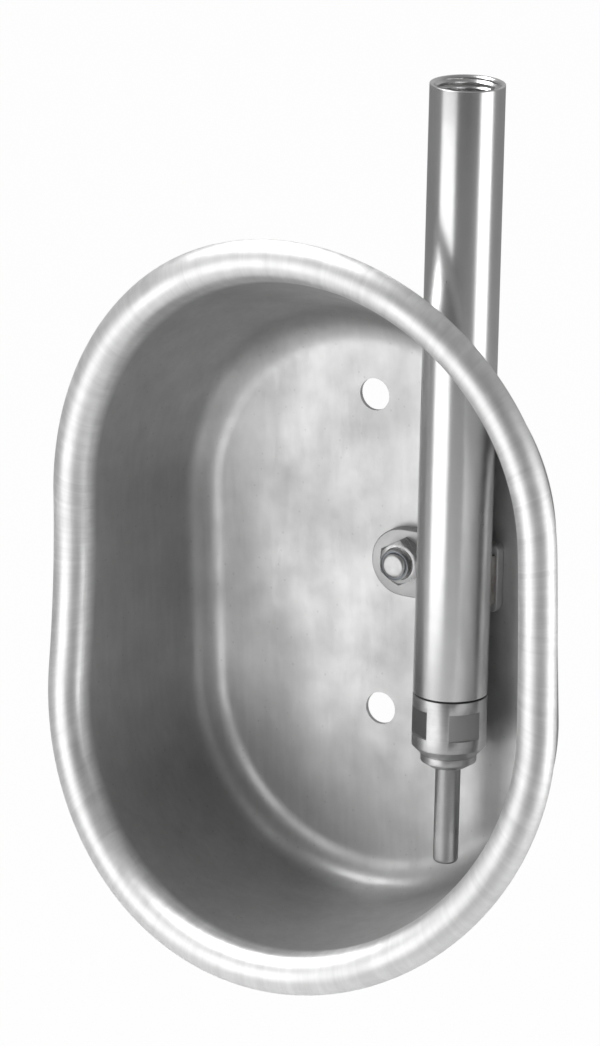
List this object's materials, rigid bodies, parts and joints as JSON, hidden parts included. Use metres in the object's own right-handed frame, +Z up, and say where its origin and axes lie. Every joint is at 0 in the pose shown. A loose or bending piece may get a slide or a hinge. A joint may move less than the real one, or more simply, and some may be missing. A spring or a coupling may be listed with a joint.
{
  "type": "livestock drinking bowl",
  "caption": "Deep oval stainless drinking bowl for a wall, fed by an upright water pipe with a spring-loaded pin valve at its lower end.",
  "frame": {"origin": "on the wall plane at the back of the bowl's panel, midway between its two wall holes", "axes": "+X to the right of a person facing the bowl, +Y into the wall, +Z up"},
  "size_m": [0.1822, 0.0798, 0.2853],
  "materials": {
    "bowl_steel": "satin, drawn stainless sheet",
    "plate_steel": "dull stainless plate",
    "stud_steel": "bright thread",
    "nut_steel": "satin",
    "insert_nylon": "matt nylon",
    "pipe_steel": "satin drawn tube",
    "weld_steel": "rough weld bead",
    "gasket_fibre": "matt",
    "valve_steel": "fine-turned stainless",
    "bush_steel": "fine-turned stainless",
    "seat_rubber": "matt",
    "pin_steel": "ground stainless",
    "cup_plastic": "acetal",
    "follower_plastic": "acetal",
    "spring_steel": "bright wire",
    "flow_plastic": "acetal",
    "clip_steel": "spring steel",
    "strainer_plastic": "acetal",
    "mesh_steel": "woven wire"
  },
  "bodies": {
    "bowl_assembly": {"bowl_shell": "bowl_steel", "bracket_plate": "plate_steel", "bracket_stud": "stud_steel", "lock_nut": "nut_steel", "lock_nut_insert": "insert_nylon", "water_pipe": "pipe_steel", "weld_bead_left": "weld_steel", "weld_bead_right": "weld_steel", "joint_gasket": "gasket_fibre", "valve_body": "valve_steel", "guide_bush": "bush_steel", "seat_ring": "seat_rubber", "flow_plate": "flow_plastic", "retaining_ring": "clip_steel", "strainer_frame": "strainer_plastic", "strainer_mesh": "mesh_steel"},
    "follower": {"spring_follower": "follower_plastic", "return_spring": "spring_steel"},
    "cup": {"ball_cup": "cup_plastic"},
    "pin": {"drinking_pin": "pin_steel"}
  },
  "joints": [
    {"name": "pin_lift", "type": "slide", "parent": "bowl_assembly", "child": "follower", "axis": [0.0489, 0, 0.9988], "range_m": [0, 0.0025], "stiffness_N_per_m": 500, "springref_m": -0.003, "deforming": ["return_spring"]},
    {"name": "pin_tilt_x", "type": "hinge", "parent": "follower", "child": "cup", "pos_m": [0.03362, -0.01755, -0.04829], "axis": [0.9988, 0, -0.0489], "range_deg": [-3, 3], "stiffness_Nm_per_rad": 0.2},
    {"name": "pin_tilt_y", "type": "hinge", "parent": "cup", "child": "pin", "pos_m": [0.03362, -0.01755, -0.04829], "axis": [0, 1, 0], "range_deg": [-3, 3], "stiffness_Nm_per_rad": 0.2}
  ]
}
